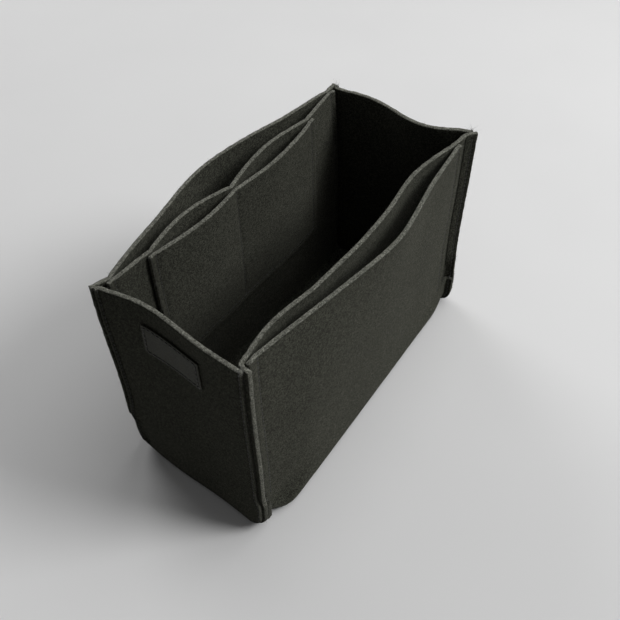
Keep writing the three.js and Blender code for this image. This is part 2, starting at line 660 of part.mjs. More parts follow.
addSeam('left_end_seam', endNeedle(-1, leftEnd), FELT, endBobbin(-1), FELT);
addSeam('right_end_seam', endNeedle(1, rightEnd), FELT, endBobbin(1), FELT);
for (const side of [-1, 1]) {
  const frontOutside = sideSeam(outerWrap, side * pocketSeam(side), -1, FORWARD);
  const frontInside = sideSeam(innerWrap, side * pocketSeam(side), -1, BACKWARD);
  addSeam(`front_pocket_${endName(side)}_seam`, frontOutside, FELT, frontInside, FELT);
  const backInside = sideSeam(innerWrap, side * BACK_SEAM, 1, FORWARD);
  const backOutside = sideSeam(outerWrap, side * BACK_SEAM, 1, BACKWARD);
  addSeam(`back_pocket_${endName(side)}_seam`, backInside, FELT, backOutside, FELT);
}
const outlineNeedle = patchOutline(patchFace, seamRows);
const outlineBobbin = patchOutline(innerBackFace, bobbinRows);
addSeam('patch_outline_seam', outlineNeedle, FELT, outlineBobbin, FELT);
const middleNeedle = patchMiddle(patchFace, seamRows);
const middleBobbin = patchMiddle(innerBackFace, bobbinRows);
addSeam('patch_centre_seam', middleNeedle, FELT, middleBobbin, FELT);
addSeam('label_seam', labelLoop(labelLift, 1), LABEL_THICKNESS, labelLoop(0, -1), FELT);

export default organizer;
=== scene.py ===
"""Felt purse organizer insert: raw-edged felt panels, lockstitched seams and a blank label.

Shapes are worked out in millimetres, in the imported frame's axes, and become metres when a mesh is made. Where
a value is kept by side, -1 is left or front and 1 is right or back.
"""

import math

import bpy
import numpy as np
from mathutils import Matrix


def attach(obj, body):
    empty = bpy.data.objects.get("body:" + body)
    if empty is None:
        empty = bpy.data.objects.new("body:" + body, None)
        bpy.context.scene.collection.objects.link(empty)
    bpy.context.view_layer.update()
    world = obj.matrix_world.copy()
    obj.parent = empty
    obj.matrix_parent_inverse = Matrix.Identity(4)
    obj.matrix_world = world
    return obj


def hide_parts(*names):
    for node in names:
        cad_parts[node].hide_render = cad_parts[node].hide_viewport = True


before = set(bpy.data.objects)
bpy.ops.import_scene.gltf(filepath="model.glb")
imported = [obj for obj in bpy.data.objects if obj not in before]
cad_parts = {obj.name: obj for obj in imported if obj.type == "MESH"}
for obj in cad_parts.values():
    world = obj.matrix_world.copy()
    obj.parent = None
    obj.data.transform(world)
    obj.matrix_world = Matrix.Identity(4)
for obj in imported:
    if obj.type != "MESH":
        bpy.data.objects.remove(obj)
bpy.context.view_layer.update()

MM = 0.001
TINY = 1e-9  # shortest vector that has a direction

# Felt box and its seam allowances, which stand off the corners as fins
INNER_LENGTH = 235
INNER_DEPTH = 96
HEIGHT = 164
FELT = 3
LAYER_GAP = 0.35
BASE_CORNER = 3
FOLD_RADIUS = 0.8
FRONT_TURN = math.radians(80)
OPEN_TURN = math.radians(42)  # the right front fin stands more open above the step
BACK_TURN = math.radians(20)
FOOT_TURN = math.radians(50)
BASE_TURN = math.radians(72)
FRONT_FIN = 6
FRONT_FOOT_FIN = 4
FOOT_FIN = 8
BACK_FIN = 11
BASE_FIN = 5
FIN_STITCH_INSET = 2.6
END_SETBACK = 1.6
FRONT_STITCH_INSET = 4.2
FRONT_SETBACK = 3.3
OPEN_FIN = 7.5
OPEN_STITCH_INSET = 3.4
OPEN_SETBACK = 2.2
FLOOR_CLEARANCE = 0.2
BASE_FLAT = 96

# Slip pockets: below the step all layers are caught in the end seams
STEP_HEIGHT = 24
STEP_MERGE = 30
STEP_CLOSE = 10
POCKET_SETBACKS = {-1: 0, 1: 8}
EDGE_STITCH = 4
BACK_EDGE_CLEARANCE = 3
FRONT_MOUTH = 15
FRONT_MOUTH_AT = 4
BACK_MOUTH = 22.5
BACK_MOUTH_AT = -2
MOUTH_ROUNDING = 0.25
FRONT_FLARES = {-1: 9, 1: 2.2}
BACK_FLARE = 9.5
BASE_FLARE_RUN = 20
BASE_FLARE_TIP = 7
WALL_FLARE_RUN = 34
MOUTH_LEAN = 1.3

# How the felt bows at the rim: place along X, half width and depth of each dip; flare and skew of each end
FRONT_DIPS = ((67, 46, 4.8), (-85, 34, 3.7), (-14, 55, -1.2))
BACK_SAG = 3.5
END_BOWS = {-1: (2.2, 2.3), 1: (0, 4.6)}
RIM_LEAN = 2

# How each corner stands away from a plain box:
# along X at the foot and at the rim, along Y at the wall and at the fin's tip
CORNERS = {
    (-1, -1): (9.3, 7.8, 0, 0),
    (1, -1): (8, 7.5, 2.5, 2.5),
    (-1, 1): (3, 4.5, 0.5, 0),
    (1, 1): (3, 2.5, 4.6, 1.3),
}
BASE_REACH = 6.5
SWEEP_START = 60

# Double pocket on the inside of the back
PATCH_LEFT = -87
PATCH_RIGHT = 79
PATCH_CENTRE = -11
PATCH_TOP = 163
PATCH_BOTTOM = 60
PATCH_STITCH = 4.5
PATCH_BELLY = 3
BACK_BELLY = 7.5
BELLY_FULLNESS = 0.8

# Blank label on the left end
LABEL_WIDTH = 46
LABEL_HEIGHT = 24.5
LABEL_THICKNESS = 1.2
LABEL_CENTRE_Y = 1.5
LABEL_DROP = 28
LABEL_STITCH = 2

# Layout worked out from those sizes
LAYER = FELT + LAYER_GAP
HALF_DEPTH = INNER_DEPTH / 2
BASE_TOP = FELT + LAYER
OUTER_FOLD = FOLD_RADIUS + FELT / 2
INNER_FOLD = OUTER_FOLD + LAYER
END_REACH = INNER_FOLD + LAYER
END_PLANE = INNER_LENGTH / 2 + FELT / 2
FOLD_START = END_PLANE - END_REACH
FOLD_HEIGHT = FELT / 2 + INNER_FOLD
POCKET_EDGES = {side: FOLD_START - setback for side, setback in POCKET_SETBACKS.items()}
POCKET_SEAMS = {side: edge - EDGE_STITCH for side, edge in POCKET_EDGES.items()}
BACK_SEAM = FOLD_START
BACK_EDGE = INNER_LENGTH / 2 - BACK_EDGE_CLEARANCE
TIP_RUN = INNER_FOLD * math.sin(BACK_TURN) + BACK_FIN * math.cos(BACK_TURN)
PATCH_SEAM_LEFT = PATCH_LEFT + EDGE_STITCH
PATCH_SEAM_RIGHT = PATCH_RIGHT - EDGE_STITCH
PATCH_SEAM_HEIGHT = PATCH_BOTTOM + PATCH_STITCH
CORNER_HEIGHT = BASE_TOP + BASE_CORNER
CORE_EDGE = HALF_DEPTH - BASE_CORNER
BASE_FIN_DROP = FOLD_HEIGHT + (FELT / 2 - OUTER_FOLD) * math.cos(BASE_TURN) + BASE_FIN * math.sin(BASE_TURN)
BASE_LIFT = BASE_FIN_DROP + FLOOR_CLEARANCE - BASE_TOP

# Sampling and surface detail
GRID = 2.4  # spacing of the felt's grid lines
FOLD_PARTS = 6
FIN_PARTS = 4
SEAM_LINES = (-3, -1.6, -0.8, 0, 0.8, 1.6, 3)  # grid lines beside a seam
SAME_LINE = 0.35
DIMPLE = 0.45  # depth that a thread draws the felt in
DIMPLE_WIDTH = 1.5
TOUCH = 0.2  # how far sewn layers swell to meet each other
SEAM_EDGE_SHADE = 0.2  # painted shade: a cut edge that lies in a seam is darkened to this share of the pale cut edge, where a free rim has 1
# A cut edge's height, as a share of half the felt, and its reach
EDGE_PROFILE = ((0.86, -0.1), (0.45, 0.06), (0, 0.1), (-0.45, 0.06), (-0.86, -0.1))
EDGE_INSET = 0.4  # a face ends this far inside its cut edge
EDGE_FRAY = 0.12  # unevenness of a cut edge
WOBBLE = 0.22  # unevenness of the sewn panels, per wave
WOBBLE_WAVES = 9
WOBBLE_LENGTHS = (55, 130)
WOBBLE_PHASES = (0, 6.28)
WOBBLE_RISE = 2 * STEP_HEIGHT  # height at which the panels are free of the base
SEED = 7

rng = np.random.default_rng(SEED)


def lerp(start, end, share):
    return start + (end - start) * share


def unit(vectors):
    return vectors / np.maximum(np.linalg.norm(vectors, axis=-1, keepdims=True), TINY)


def smooth(value):
    value = np.clip(value, 0, 1)
    return value * value * (3 - 2 * value)


def evenly(start, end, step):
    return np.linspace(start, end, max(2, round(abs(end - start) / step) + 1))


def lines(*groups):
    """Sorted grid lines, without near doubles; the first group's lines are all kept."""
    kept = list(groups[0])
    for value in np.concatenate([np.atleast_1d(group) for group in groups[1:]]):
        if min(abs(value - line) for line in kept) > SAME_LINE:
            kept.append(value)
    return np.array(sorted(kept))


# Shape of the felt

def rise(z):
    """Height above the base as a share of the wall."""
    return np.clip((z - BASE_TOP) / (HEIGHT - BASE_TOP), 0, 1)


def lift(along):
    """The base rises towards the ends, which stand on their fins."""
    return BASE_LIFT * smooth((np.abs(along) - BASE_FLAT) / (FOLD_START - BASE_FLAT))


def mouth(x, centre, seam):
    """A pocket mouth's bow between its side seams: two nearly straight flanks and a round top."""
    away = np.abs(x - centre) / np.where(x < centre, seam + centre, seam - centre)
    drop = np.hypot(away, MOUTH_ROUNDING) - MOUTH_ROUNDING
    return np.maximum(0, 1 - drop / (math.hypot(1, MOUTH_ROUNDING) - MOUTH_ROUNDING))


def front_dip(x):
    total = 0
    for at, reach, depth in FRONT_DIPS:
        total = total + depth * np.cos(np.pi / 2 * np.minimum(1, np.abs(x - at) / reach)) ** 2
    return total


def pocket_swell(x, z):
    start = np.where(x < PATCH_CENTRE, PATCH_SEAM_LEFT, PATCH_CENTRE)
    end = np.where(x < PATCH_CENTRE, PATCH_CENTRE, PATCH_SEAM_RIGHT)
    along = np.sin(np.pi * np.clip((x - start) / (end - start), 0, 1))
    up = np.clip((z - PATCH_SEAM_HEIGHT) / (PATCH_TOP - PATCH_SEAM_HEIGHT), 0, 1)
    return along * up ** BELLY_FULLNESS


def back_sag(x, z):
    return BACK_SAG * np.maximum(0, 1 - (x / BACK_SEAM) ** 2) * rise(z)


def pocket_seam(side):
    return np.where(side < 0, POCKET_SEAMS[-1], POCKET_SEAMS[1])


def wall_bow(layer, x, y, z):
    """Outward bow of a wrap's wall: layer 0 is the inner wrap, 1 the outer one."""
    if layer == 0:
        back = BACK_BELLY * pocket_swell(x, z) - back_sag(x, z)
        return np.where(y < 0, -front_dip(x) * rise(z) ** RIM_LEAN, back)
    front = FRONT_MOUTH * mouth(x, FRONT_MOUTH_AT, pocket_seam(x - FRONT_MOUTH_AT))
    opening = np.where(y < 0, front, BACK_MOUTH * mouth(x, BACK_MOUTH_AT, BACK_SEAM))
    climb = smooth(z / STEP_HEIGHT)
    flare_end = lerp(FOLD_START + BASE_FLARE_TIP, pocket_seam(x), climb)
    flare_run = lerp(BASE_FLARE_RUN, WALL_FLARE_RUN, climb)
    front_flare = lerp(FRONT_FLARES[-1], FRONT_FLARES[1], (x / FOLD_START + 1) / 2)
    flare = np.where(y < 0, front_flare, BACK_FLARE) * smooth((flare_end - np.abs(x)) / flare_run)
    return lerp(flare, opening, rise(z) ** MOUTH_LEAN)


def end_bow(side, y, z):
    flare, skew = END_BOWS[side]
    across = np.clip(side * y / HALF_DEPTH, -1, 1)
    return (flare * (1 - across * across) + skew * np.sin(np.pi * across)) * rise(z) ** RIM_LEAN


def corner_value(side, y, index):
    """One value of the corner on each point's side and depth."""
    front = np.where(side < 0, CORNERS[-1, -1][index], CORNERS[1, -1][index])
    back = np.where(side < 0, CORNERS[-1, 1][index], CORNERS[1, 1][index])
    return np.where(y < 0, front, back)


def corner_reach(side, y, z):
    """How far a corner draws the felt out along X, less towards the middle of the depth."""
    share = np.minimum(1, np.abs(y) / HALF_DEPTH) ** 2
    foot = lerp(BASE_REACH, corner_value(side, y, 0), share)
    return lerp(foot, corner_value(side, y, 1) * share, rise(z))


def corner_swing(side, along, y, z):
    """How far it draws the felt out along Y, from the walls to the tips of the fins."""
    tip = np.clip((along - FOLD_START) / TIP_RUN, 0, 1)
    return lerp(corner_value(side, y, 2), corner_value(side, y, 3), tip) * rise(z) ** RIM_LEAN


def random_wave():
    """A wave vector, a direction of movement and a phase."""
    wave = unit(rng.normal(size=3)) * 2 * np.pi / rng.uniform(*WOBBLE_LENGTHS)
    return wave, unit(rng.normal(size=3)), rng.uniform(*WOBBLE_PHASES)


WAVES = [random_wave() for _ in range(WOBBLE_WAVES)]


def wobble(points):
    """The same gentle unevenness for every layer, none at the base."""
    moved = points.copy()
    free = smooth(points[:, 2] / WOBBLE_RISE)[:, None]
    for wave, direction, phase in WAVES:
        moved += free * WOBBLE * np.sin(points @ wave + phase)[:, None] * direction
    return moved


# The wraps' U: down the front, across the base and up the back. A row holds y, z and the outward normal.

def u_rows():
    """The rows, with the heights of the walls' rows and the depths of the base's."""
    heights = lines([HEIGHT, STEP_HEIGHT, CORNER_HEIGHT], evenly(CORNER_HEIGHT, HEIGHT, GRID))[::-1]
    base = evenly(-CORE_EDGE, CORE_EDGE, GRID)
    wall = [(HALF_DEPTH, z, 1, 0) for z in heights]
    corner = []
    for angle in np.linspace(0, np.pi / 2, FOLD_PARTS + 1)[1:-1]:
        ny, nz = math.cos(angle), -math.sin(angle)
        corner.append((CORE_EDGE + BASE_CORNER * ny, CORNER_HEIGHT + BASE_CORNER * nz, ny, nz))
    back = np.array(wall + corner)
    front = back * (-1, 1, -1, 1)
    middle = np.array([(y, BASE_TOP, 0, -1) for y in base])
    return np.concatenate([front, middle, back[::-1]]), heights, base


ROWS, HEIGHTS, BASE_LINES = u_rows()


def fin_shape(rows, side):
    """The fin at each row: turn, length, the stitches and the end panel's edge as shares of that length, and
    the shift along X and centre of its fold."""
    z, ny, nz = (rows[:, k, None] for k in (1, 2, 3))
    down = nz ** 2
    climb = smooth((z - STEP_HEIGHT) / STEP_MERGE)
    close = smooth((z - STEP_HEIGHT) / STEP_CLOSE)
    back = ny > 0
    opened = np.where(back | (side < 0), 0, climb)
    front_turn = lerp(FRONT_TURN, OPEN_TURN, opened)
    upright = np.where(back, lerp(FOOT_TURN, BACK_TURN, climb), front_turn)
    front_fin = lerp(lerp(FRONT_FOOT_FIN, FRONT_FIN, close), OPEN_FIN, opened)
    fin = np.where(back, lerp(FOOT_FIN, BACK_FIN, climb), front_fin)
    length = lerp(fin, BASE_FIN, down)
    slack = np.where(back, 0, close)
    folded = np.where(side < 0, slack, 0)
    inset = lerp(lerp(FIN_STITCH_INSET, FRONT_STITCH_INSET, folded), OPEN_STITCH_INSET, opened)
    setback = lerp(lerp(END_SETBACK, FRONT_SETBACK, folded), OPEN_SETBACK, opened)
    stitch = 1 - inset / length
    edge = 1 - setback / length
    centre = FOLD_HEIGHT + np.where(back, close, -close) * LAYER
    return lerp(upright, BASE_TURN, down), length, stitch, edge, slack * LAYER, centre


def fin_share(fin, stitch):
    """Share of a fin's length: fin runs from 0 at the fold through 1 at the stitches to 2 at the raw edge."""
    return np.where(fin < 1, fin * stitch, lerp(stitch, 1, fin - 1))


def place(side, along, rows, out, bow=0):
    """Points along X from the middle and out from each row, with the wall's bow and the corners' pull."""
    y = rows[:, 0, None] + rows[:, 2, None] * out
    z = rows[:, 1, None] + rows[:, 3, None] * out
    sweep = smooth((along - SWEEP_START) / (FOLD_START - SWEEP_START))
    swing = sweep * corner_swing(side, along, rows[:, 0, None], rows[:, 1, None])
    spread = np.minimum(1, np.abs(y) / HALF_DEPTH)
    across = y + np.sign(y) * (bow + swing) * spread
    reach = sweep * corner_reach(side, across, rows[:, 1, None])
    up = lift(along) * (HEIGHT - z) / (HEIGHT - BASE_TOP)
    return np.stack(np.broadcast_arrays(side * (along + reach), across, z + up), axis=-1)


def wrap_columns(*seams):
    """Columns across a wrap: side, distance from the middle, share of the fold, place on the fin."""
    near = np.concatenate([seam + np.array(SEAM_LINES) for seam in seams])
    near = near[(near > SAME_LINE - POCKET_EDGES[-1]) & (near < POCKET_EDGES[1] - SAME_LINE)]
    kept = {side * x for side, edge in POCKET_EDGES.items() for x in (edge, FOLD_START)}
    wall = lines(kept, near, evenly(-FOLD_START, FOLD_START, GRID))
    middle = [(1 if x >= 0 else -1, abs(x), 0, 0) for x in wall]
    turns = [(1, FOLD_START, share, 0) for share in np.linspace(0, 1, FOLD_PARTS + 1)[1:]]
    fins = [(1, FOLD_START, 1, fin) for fin in np.linspace(0, 2, 2 * FIN_PARTS + 1)[1:]]
    right = turns + fins
    left = [(-1, *column[1:]) for column in right[::-1]]
    return np.array(left + middle + right, float)


def wrap_points(layer, columns):
    """Middle surface of a wrap: layer 0 is the inner wrap, 1 the outer one."""
    y, z, ny = (ROWS[:, k, None] for k in (0, 1, 2))
    side, along, bend, fin = (columns[None, :, k] for k in range(4))
    turn, length, stitch, _, tuck, centre = fin_shape(ROWS, side)
    out = FELT / 2 + layer * LAYER
    radius = centre - out
    share = fin_share(fin, stitch)
    folded = FOLD_START + tuck + radius * np.sin(turn * bend) + share * length * np.cos(turn)
    raised = centre - radius * np.cos(turn * bend) + share * length * np.sin(turn)
    if layer == 0:
        flat = np.where(ny == 1, (centre - FOLD_HEIGHT) / LAYER, 0)
        folded = lerp(folded, lerp(FOLD_START, BACK_EDGE, bend), flat)
        raised = lerp(raised, out, flat)
    on_wall = bend == 0
    bow = wall_bow(layer, side * along, y, z) * np.clip(1 - fin, 0, 1)
    if layer == 0:
        bow = np.where(on_wall, bow, 0)
    return place(side, np.where(on_wall, along, folded), ROWS, np.where(on_wall, out, raised), bow)


def column_x(columns):
    """A value that grows along X over the columns, and is X itself on the walls."""
    return columns[:, 0] * (columns[:, 1] + columns[:, 2] + columns[:, 3])


def grid_cells(count, width, keep=None):
    i, j = np.meshgrid(np.arange(count - 1), np.arange(width - 1), indexing="ij")
    first = i * width + j
    cells = np.stack([first, first + 1, first + width + 1, first + width], axis=-1)
    return cells.reshape(-1, 4) if keep is None else cells[keep]


def wrap_cells(columns, narrow_side, margin):
    """Cells of a wrap, without the margin of its narrower half above the step."""
    wall = ROWS[:, 2] == narrow_side
    tall = np.maximum(ROWS[:-1, 1], ROWS[1:, 1]) > STEP_HEIGHT
    upper = wall[:-1] & wall[1:] & tall
    return grid_cells(len(ROWS), len(columns), ~(upper[:, None] & margin[None, :]))


def dips(distance):
    """How much a seam draws the felt in, by the distance from its stitches."""
    return np.exp(-((distance / DIMPLE_WIDTH) ** 2))


def fin_seam(columns):
    """How near each point of a wrap is to its end seams' stitches, and if other layers touch it there."""
    _, length, stitch, _, _, _ = fin_shape(ROWS, columns[None, :, 0])
    fin = columns[None, :, 3]
    away = np.abs(fin_share(fin, stitch) - stitch) * length
    return np.where(fin > 0, dips(away), 0), np.broadcast_to(np.clip(FIN_PARTS * fin, 0, 1), away.shape)


def wall_seam(columns, seams):
    """How near each point of a wrap is to the stitches of the seams on its walls."""
    near = np.zeros((len(ROWS), len(columns)))
    x, fin = column_x(columns)[None, :], columns[None, :, 3]
    for side, at, bottom in seams:
        wall = (ROWS[:, 2, None] == side) & (ROWS[:, 1, None] >= bottom)
        near = np.maximum(near, np.where(wall & (fin == 0), dips(x - at), 0))
    return near


UPPER_FRONT = (ROWS[:, 2, None] == -1) & (ROWS[:, 1, None] > STEP_HEIGHT)


def wrap_edge_tones_and_shade(columns):
    """Rims and the front's free edges show the full pale cut edge; edges in a seam are darkened as painted
    shade.
    """
    free = UPPER_FRONT | (ROWS[:, 1, None] == HEIGHT)
    return np.broadcast_to(np.where(free, 1, SEAM_EDGE_SHADE), (len(ROWS), len(columns)))


# Sheets and meshes

def new_object(name, vertices, faces, material, flags=None):
    mesh = bpy.data.meshes.new(name)
    mesh.from_pydata((np.asarray(vertices) * MM).tolist(), [], faces)
    mesh.polygons.foreach_set("use_smooth", np.ones(len(mesh.polygons), bool))
    for label, values in (flags or {}).items():
        mesh.attributes.new(label, "FLOAT", "POINT").data.foreach_set("value", np.asarray(values, np.float32))
    mesh.materials.append(material)
    mesh.validate()
    piece = bpy.data.objects.new(name, mesh)
    bpy.context.scene.collection.objects.link(piece)
    return piece


def corner_list(cells):
    """Cells as faces, with the doubled corners of a fan left out."""
    faces = []
    for cell in cells.tolist():
        face = list(dict.fromkeys(cell))
        if len(face) > 2:
            faces.append(face)
    return faces


class Sheet:
    """A middle surface with its normals and border.

    Above and below are what its two faces stand out, beyond half the thickness, along the normals and against
    them.
    The edge tone is how much a cut edge shows its pale core; on edges in a seam it is lowered as painted shade.
    """

    def __init__(self, points, cells, thickness, above, below, pale_core_and_shade=1):
        self.points = wobble(points.reshape(-1, 3))
        self.cells = cells
        self.above = thickness / 2 + np.ravel(above)
        self.below = thickness / 2 + np.ravel(below)
        self.pale_core_and_shade = np.broadcast_to(np.ravel(pale_core_and_shade), len(self.points))
        self.normals = self.find_normals()
        self.border, self.outward = self.find_border()

    def find_normals(self):
        normals = np.zeros_like(self.points)
        for a, b, c in ((0, 1, 2), (0, 2, 3)):
            p, q, r = (self.points[self.cells[:, k]] for k in (a, b, c))
            face = np.cross(q - p, r - p)
            for corner in (a, b, c):
                np.add.at(normals, self.cells[:, corner], face)
        return unit(normals)

    def find_border(self):
        """Directed border edges, and the direction in the sheet that points off it at each point."""
        edges = np.concatenate([self.cells[:, [k, (k + 1) % 4]] for k in range(4)])
        edges = edges[edges[:, 0] != edges[:, 1]]
        known = set(map(tuple, edges.tolist()))
        border = np.array([edge for edge in known if edge[::-1] not in known])
        border = border[np.lexsort(border.T)]
        outward = np.zeros_like(self.points)
        ahead = unit(self.points[border[:, 1]] - self.points[border[:, 0]])
        for end in (0, 1):
            np.add.at(outward, border[:, end], np.cross(ahead, self.normals[border[:, end]]))
        return border, unit(outward)

    def face(self, index, direction):
        """Points and normals on the face that looks along a direction."""
        along = ((self.normals[index] * direction).sum(axis=1) > 0)[:, None]
        normals = np.where(along, self.normals[index], -self.normals[index])
        depth = np.where(along, self.above[index, None], self.below[index, None])
        return self.points[index] + normals * depth, normals

    def build(self, name, material):
        """Two faces joined round the border by a slightly rounded cut edge."""
        count = len(self.points)
        at_border = np.zeros(count, bool)
        at_border[self.border.ravel()] = True
        inset = np.where(at_border, EDGE_INSET, 0)[:, None] * self.outward
        over, under = self.normals * self.above[:, None], self.normals * self.below[:, None]
        fray = rng.normal(scale=EDGE_FRAY, size=(count, len(EDGE_PROFILE)))
        layers = [self.points + over - inset]
        for k, (height, reach) in enumerate(EDGE_PROFILE):
            stand = (over if height > 0 else under) * height
            layers.append(self.points + stand + self.outward * (reach + fray[:, k, None]))
        layers.append(self.points - under - inset)
        last = len(layers) - 1
        faces = corner_list(self.cells) + [
            [i + last * count for i in face[::-1]] for face in corner_list(self.cells)
        ]
        for k in range(last):
            a, b = self.border[:, 0] + k * count, self.border[:, 1] + k * count
            faces += np.stack([a + count, b + count, b, a], axis=1).tolist()
        # The cut edge's faces take the sheet's edge tone, which is lowered on seam edges as painted shade.
        cut = np.concatenate([self.pale_core_and_shade * (0 < k < last) for k in range(last + 1)])
        used = np.zeros((last + 1) * count, bool)
        used[np.concatenate(faces)] = True
        renumber = np.cumsum(used) - 1
        faces = [[int(renumber[i]) for i in face] for face in faces]
        return new_object(name, np.concatenate(layers)[used], faces, material, {"cut": cut[used]})


# Tubes for stitches and fibres

def tubes(name, centres, across, above, radii, sides, material):
    """Closed tubes, one for each row of centres; across and above span each ring."""
    rows, rings = centres.shape[:2]
    angles = np.arange(sides) * 2 * np.pi / sides
    spokes = across[:, :, None] * np.cos(angles)[:, None] + above[:, :, None] * np.sin(angles)[:, None]
    vertices = (centres[:, :, None] + spokes * radii[..., None, None]).reshape(-1, 3)
    ring = np.arange(rows * rings * sides).reshape(rows, rings, sides)
    following = np.roll(ring, -1, axis=2)
    walls = np.stack([ring[:, :-1], following[:, :-1], following[:, 1:], ring[:, 1:]], axis=-1).reshape(-1, 4)
    faces = walls.tolist() + ring[:, 0, ::-1].tolist() + ring[:, -1].tolist()
    return new_object(name, vertices, faces, material)


STITCH_PITCH = 3.6
STITCH_LENGTH = 3.1
STITCH_RADIUS = 0.32
STITCH_RINGS = 7
STITCH_SIDES = 6
STITCH_PROUD = 0.12
STITCH_SINK = 0.75
STITCH_TAPER = 0.25  # share of its radius that a stitch loses at its ends


def stitches(name, path, normals, material):
    """Lockstitches along a path on the felt: each rises from one hole and dips into the next."""
    gone = np.concatenate([[0], np.cumsum(np.linalg.norm(np.diff(path, axis=0), axis=1))])
    count = max(1, int(gone[-1] // STITCH_PITCH))
    pitch = gone[-1] / count
    share = np.linspace(-1, 1, STITCH_RINGS)
    at = (np.arange(count)[:, None] + 0.5) * pitch + share * STITCH_LENGTH / 2
    centres = np.stack([np.interp(at, gone, path[:, k]) for k in range(3)], axis=-1)
    above = unit(np.stack([np.interp(at, gone, normals[:, k]) for k in range(3)], axis=-1))
    height = STITCH_PROUD - (STITCH_PROUD + STITCH_SINK) * share ** 4
    centres = centres + above * height[None, :, None]
    ahead = unit(np.gradient(centres, axis=1))
    across = unit(np.cross(ahead, above))
    radii = np.broadcast_to(STITCH_RADIUS * (1 - STITCH_TAPER * share ** 2), at.shape)
    return tubes(name, centres, across, np.cross(across, ahead), radii, STITCH_SIDES, material)


FIBRES_PER_MM = 2.2
FIBRE_LENGTHS = (0.35, 1.5)
FIBRE_RADIUS = 0.035
FIBRE_TAPER = 0.6  # share of its radius that a fibre loses at its tip
FIBRE_RINGS = 4
FIBRE_SIDES = 3
FIBRE_BAND = 0.95  # share of the felt's thickness that fibres start from
FIBRE_SPREAD = 0.75
FIBRE_CURL = 0.45
FIBRE_ROOT = 0.35
OFF_AXIS = 0.01  # keeps a fibre's side direction off the fibre itself
TUFT_FIBRES = 34
TUFT_EDGES = 6
TUFT_LENGTHS = (1.5, 5)


def fibres(name, sheet, material, tufts=()):
    """Loose fibres along a cut edge, with longer tufts at the corners given."""
    start, end = sheet.points[sheet.border[:, 0]], sheet.points[sheet.border[:, 1]]
    length = np.linalg.norm(end - start, axis=1)
    count = int(length.sum() * FIBRES_PER_MM)
    edge = rng.choice(len(length), count, p=length / length.sum())
    reach = rng.uniform(*FIBRE_LENGTHS, count)
    for corner in tufts:
        near = np.argsort(np.linalg.norm(start - corner, axis=1))[:TUFT_EDGES]
        edge = np.concatenate([edge, rng.choice(near, TUFT_FIBRES)])
        reach = np.concatenate([reach, rng.uniform(*TUFT_LENGTHS, TUFT_FIBRES)])
    count = len(edge)
    first = sheet.border[edge, 0]
    along = lerp(start[edge], end[edge], rng.random((count, 1)))
    height = rng.uniform(-FIBRE_BAND, FIBRE_BAND, count)
    depth = height * np.where(height > 0, sheet.above[first], sheet.below[first])
    root = along + sheet.normals[first] * depth[:, None]
    ahead = unit(sheet.outward[first] + FIBRE_SPREAD * rng.normal(size=(count, 3)))
    curl = unit(rng.normal(size=(count, 3)))
    share = np.linspace(0, 1, FIBRE_RINGS)[None, :, None]
    bend = ahead[:, None] * share + FIBRE_CURL * curl[:, None] * share ** 2
    centres = (root - FIBRE_ROOT * ahead)[:, None] + bend * (reach + FIBRE_ROOT)[:, None, None]
    clear = centres[:, :, 2].min(axis=1) > FIBRE_RADIUS
    centres, curl = centres[clear], curl[clear]
    tangent = unit(np.gradient(centres, axis=1))
    across = unit(np.cross(tangent, curl[:, None] + OFF_AXIS))
    radii = np.broadcast_to(FIBRE_RADIUS * (1 - FIBRE_TAPER * share[..., 0]), centres.shape[:2])
    return tubes(name, centres, across, np.cross(across, tangent), radii, FIBRE_SIDES, material)


# Materials: colours are linear, and tones list a noise's values with the colour or number at each

MIX_FIRST, MIX_SECOND, MIX_RESULT = 6, 7, 2  # a Mix node's colour sockets
FELT_TONES = (
    (0.41, (0.003, 0.0031, 0.0025)),
    (0.5, (0.0165, 0.017, 0.0134)),
    (0.59, (0.06, 0.0615, 0.049)),
)
EDGE_TONES = (
    (0.36, (0.022, 0.022, 0.0185)),
    (0.5, (0.094, 0.095, 0.081)),
    (0.64, (0.255, 0.257, 0.222)),
)
STRAND_COLOUR = (0.076, 0.078, 0.062)
STRAND_TONES = ((0.52, 0), (0.68, 1))
STRAND_SHARE = 0.55  # how much the paler strands cover the felt's own tone
NAP_SHARE = 0.55  # height of the fine fibres beside the heather's
WARM_TINT = (1, 1, 0.84)
THREAD_TONES = ((0.3, (0.012, 0.012, 0.011)), (0.7, (0.036, 0.036, 0.033)))
LEATHER_TONES = ((0.3, (0.0095, 0.0096, 0.0062)), (0.7, (0.0165, 0.0164, 0.0108)))
LEATHER_GRAIN = 1150  # cells per metre
FLOOR_TONES = ((0.3, 0.68), (0.7, 0.71))
FLOOR_BOUNCE = (0.22, 0.22, 0.2)


